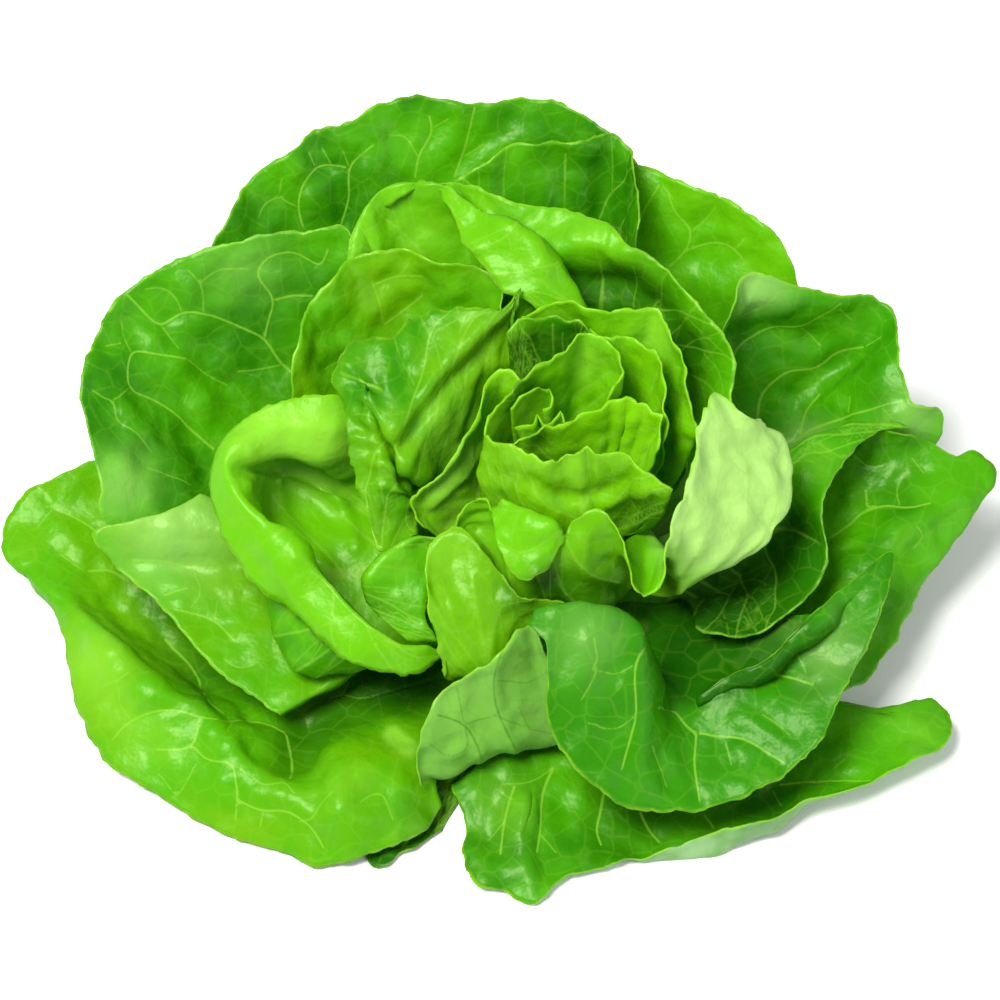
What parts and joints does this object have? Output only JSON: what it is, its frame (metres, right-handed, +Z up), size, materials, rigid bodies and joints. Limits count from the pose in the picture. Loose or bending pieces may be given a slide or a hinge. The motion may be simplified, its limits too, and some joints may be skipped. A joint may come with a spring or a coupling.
{
  "type": "butterhead lettuce",
  "caption": "Open head of butterhead lettuce: broad wavy outer leaves spread round a loose heart of smaller, paler leaves on a short cut stem.",
  "frame": {"origin": "middle of the cut stem face, on the table", "axes": "+Z up, out of the cut stem; -Y is the side that the picture looks at; +X to the right in the picture"},
  "size_m": [0.2835, 0.2271, 0.093],
  "materials": {
    "stem": null,
    "outer_leaf": "fresh deep green leaf, waxy, blistered, with pale veins",
    "inner_leaf": "fresh light green leaf, waxy, blistered, with pale veins",
    "heart_leaf": "tender yellow-green heart leaf, waxy"
  },
  "bodies": {
    "root": {"stem": "stem", "outer_leaf_under": "outer_leaf", "outer_leaf_front": "outer_leaf", "outer_leaf_front_left": "outer_leaf", "outer_leaf_back_left": "outer_leaf", "outer_leaf_back_right": "outer_leaf", "outer_leaf_right_back": "outer_leaf", "outer_leaf_right": "outer_leaf", "outer_leaf_left": "outer_leaf", "outer_leaf_lower_left": "outer_leaf", "back_leaf": "outer_leaf", "front_left_leaf": "outer_leaf", "front_leaf": "outer_leaf", "back_wrapper": "outer_leaf", "back_left_wrapper": "outer_leaf", "left_wrapper": "outer_leaf", "right_leaf": "outer_leaf", "left_cup_leaf": "outer_leaf", "front_left_curl_leaf": "inner_leaf", "front_curled_leaf": "inner_leaf", "front_right_wavy_leaf": "inner_leaf", "left_inner_leaf": "inner_leaf", "pale_rib_leaf": "inner_leaf", "right_inner_leaf": "inner_leaf", "heart_leaf_far": "heart_leaf", "heart_leaf_right": "heart_leaf", "heart_leaf_front": "heart_leaf", "heart_leaf_back": "heart_leaf", "heart_leaf_small": "heart_leaf", "heart_leaf_tip": "heart_leaf", "heart_leaf_middle": "heart_leaf"}
  },
  "joints": []
}
